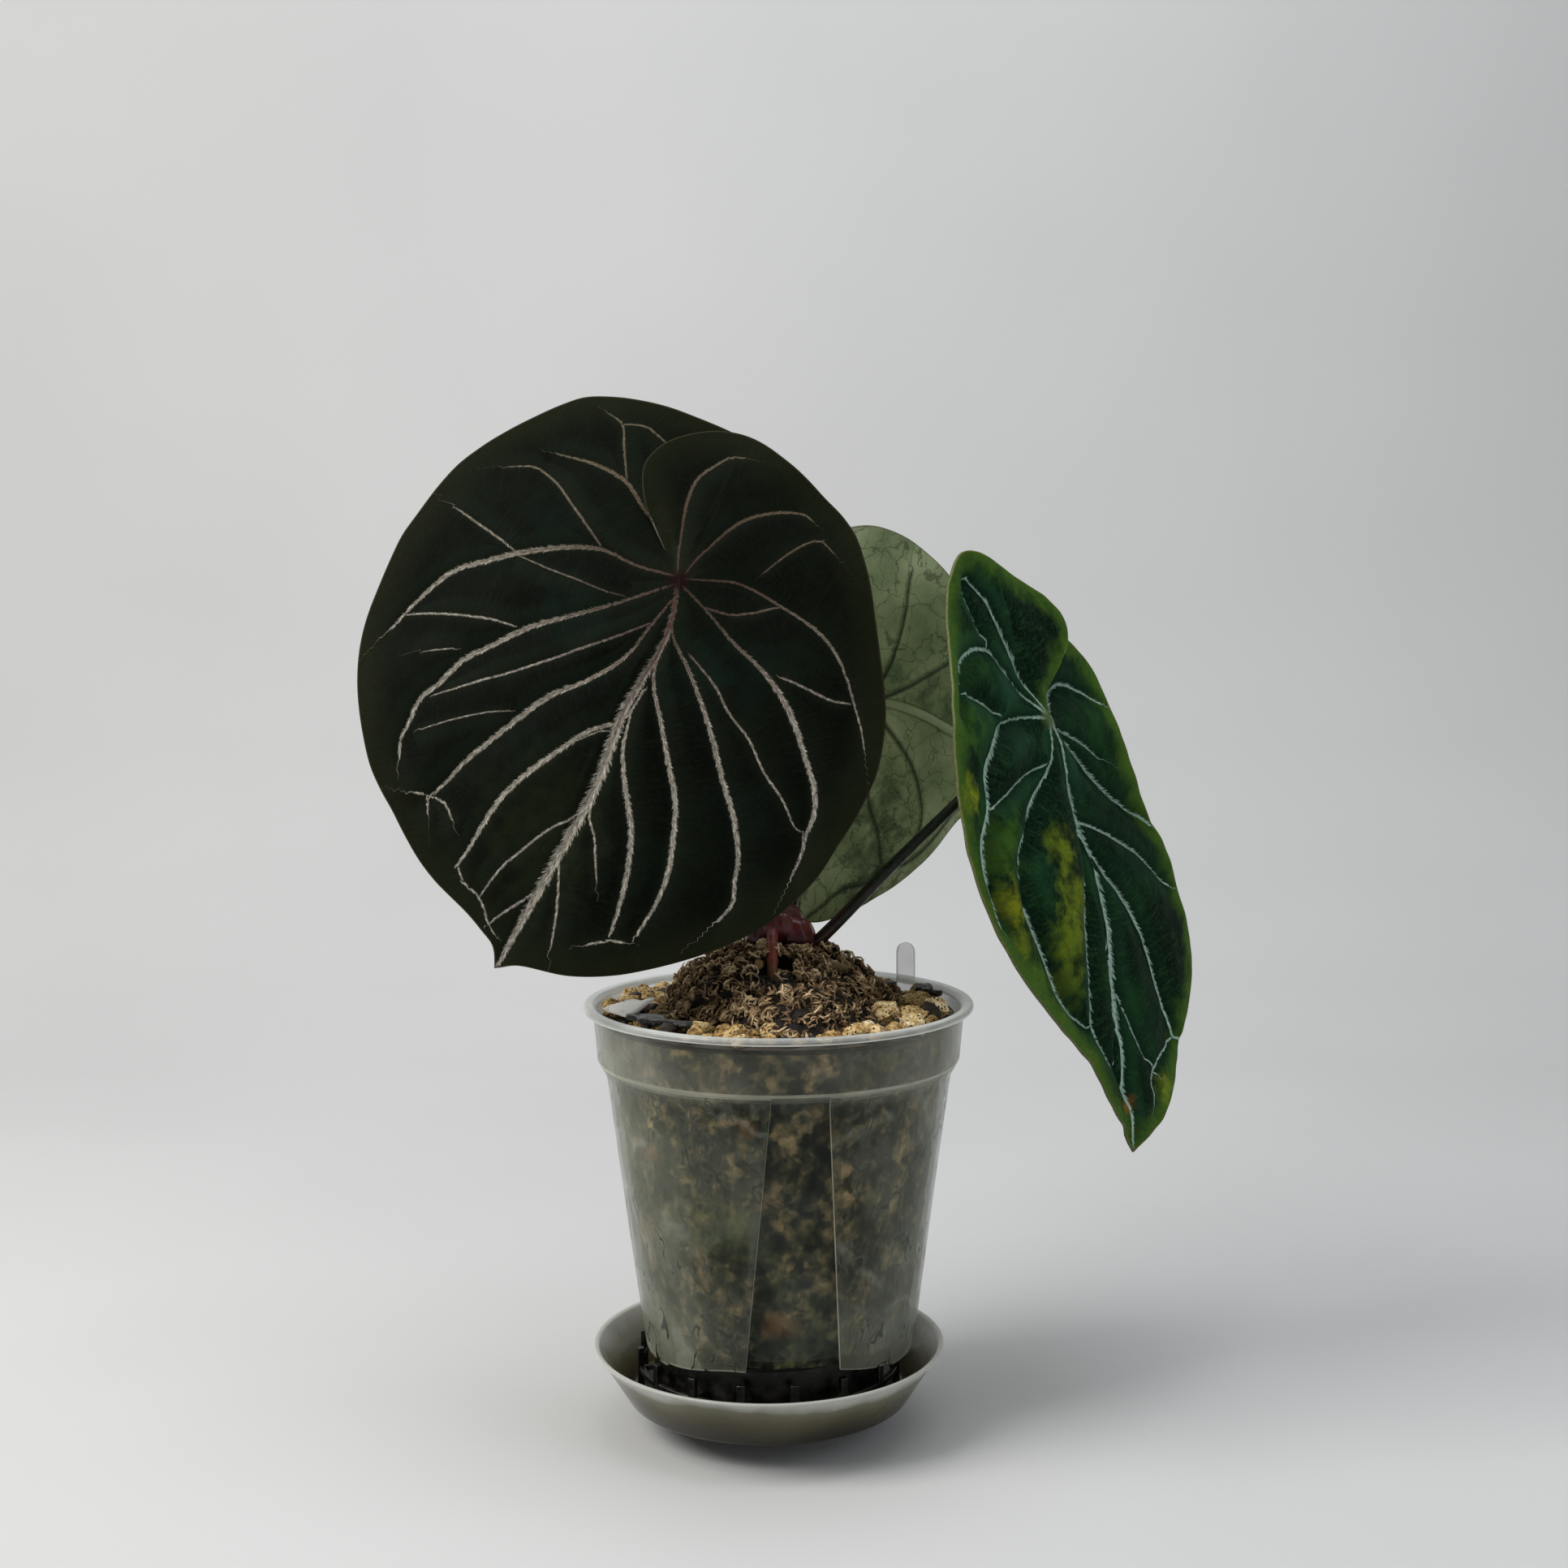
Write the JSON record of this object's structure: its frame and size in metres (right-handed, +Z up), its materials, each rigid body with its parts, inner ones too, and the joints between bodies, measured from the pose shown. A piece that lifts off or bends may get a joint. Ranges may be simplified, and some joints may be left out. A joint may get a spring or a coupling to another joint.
{
  "type": "potted king of spades anthurium",
  "caption": "Potted velvet-leaved anthurium with large heart-shaped, pale-veined leaves in a clear slit pot on a drainage basket and saucer.",
  "frame": {"origin": "middle of the saucer's underside, where it stands", "axes": "+Z up through the plant, the front leaf faces -Y, +X to the plant's right as the picture shows it"},
  "size_m": [0.2657, 0.1469, 0.3096],
  "materials": {
    "saucer_plastic": "milky translucent, scuffed, grey-olive from the damp inside",
    "basket_plastic": "black, satin",
    "pot_plastic": "clear to milky, faintly scratched",
    "potting_mix": "damp dark chunky mix of bark, pumice and fibre",
    "root_fibre": "matted curly brown fibre",
    "pumice": "porous tan to honey-coloured",
    "bark": "wet black flakes",
    "fleece": "soft white, a little soiled",
    "label_plastic": "clear, glossy",
    "crown": "wine-red, faintly shiny",
    "root_skin": "wine-brown above, olive below",
    "cut_root": "dry tan with rings",
    "petiole": "smooth dark green, a soft shine along it",
    "front_leaf": "near-black green velvet with pinkish-beige veins",
    "back_leaf": "matt olive underside with a darker net",
    "right_leaf": "deep green velvet with mint veins and yellowing margins"
  },
  "bodies": {
    "root": {"saucer": "saucer_plastic", "drainage_basket": "basket_plastic", "pot": "pot_plastic", "potting_mix": "potting_mix", "root_mound": "root_fibre", "top_dressing": "pumice", "bark_flakes_left": "bark", "bark_flakes_right": "bark", "fleece_packet": "fleece", "plant_label": "label_plastic", "crown": "crown", "aerial_root": "root_skin", "cut_root_left": "cut_root", "cut_root_right": "cut_root", "front_petiole": "petiole", "back_petiole": "petiole", "right_petiole": "petiole", "front_leaf": "front_leaf", "back_leaf": "back_leaf", "right_leaf": "right_leaf"}
  },
  "joints": []
}
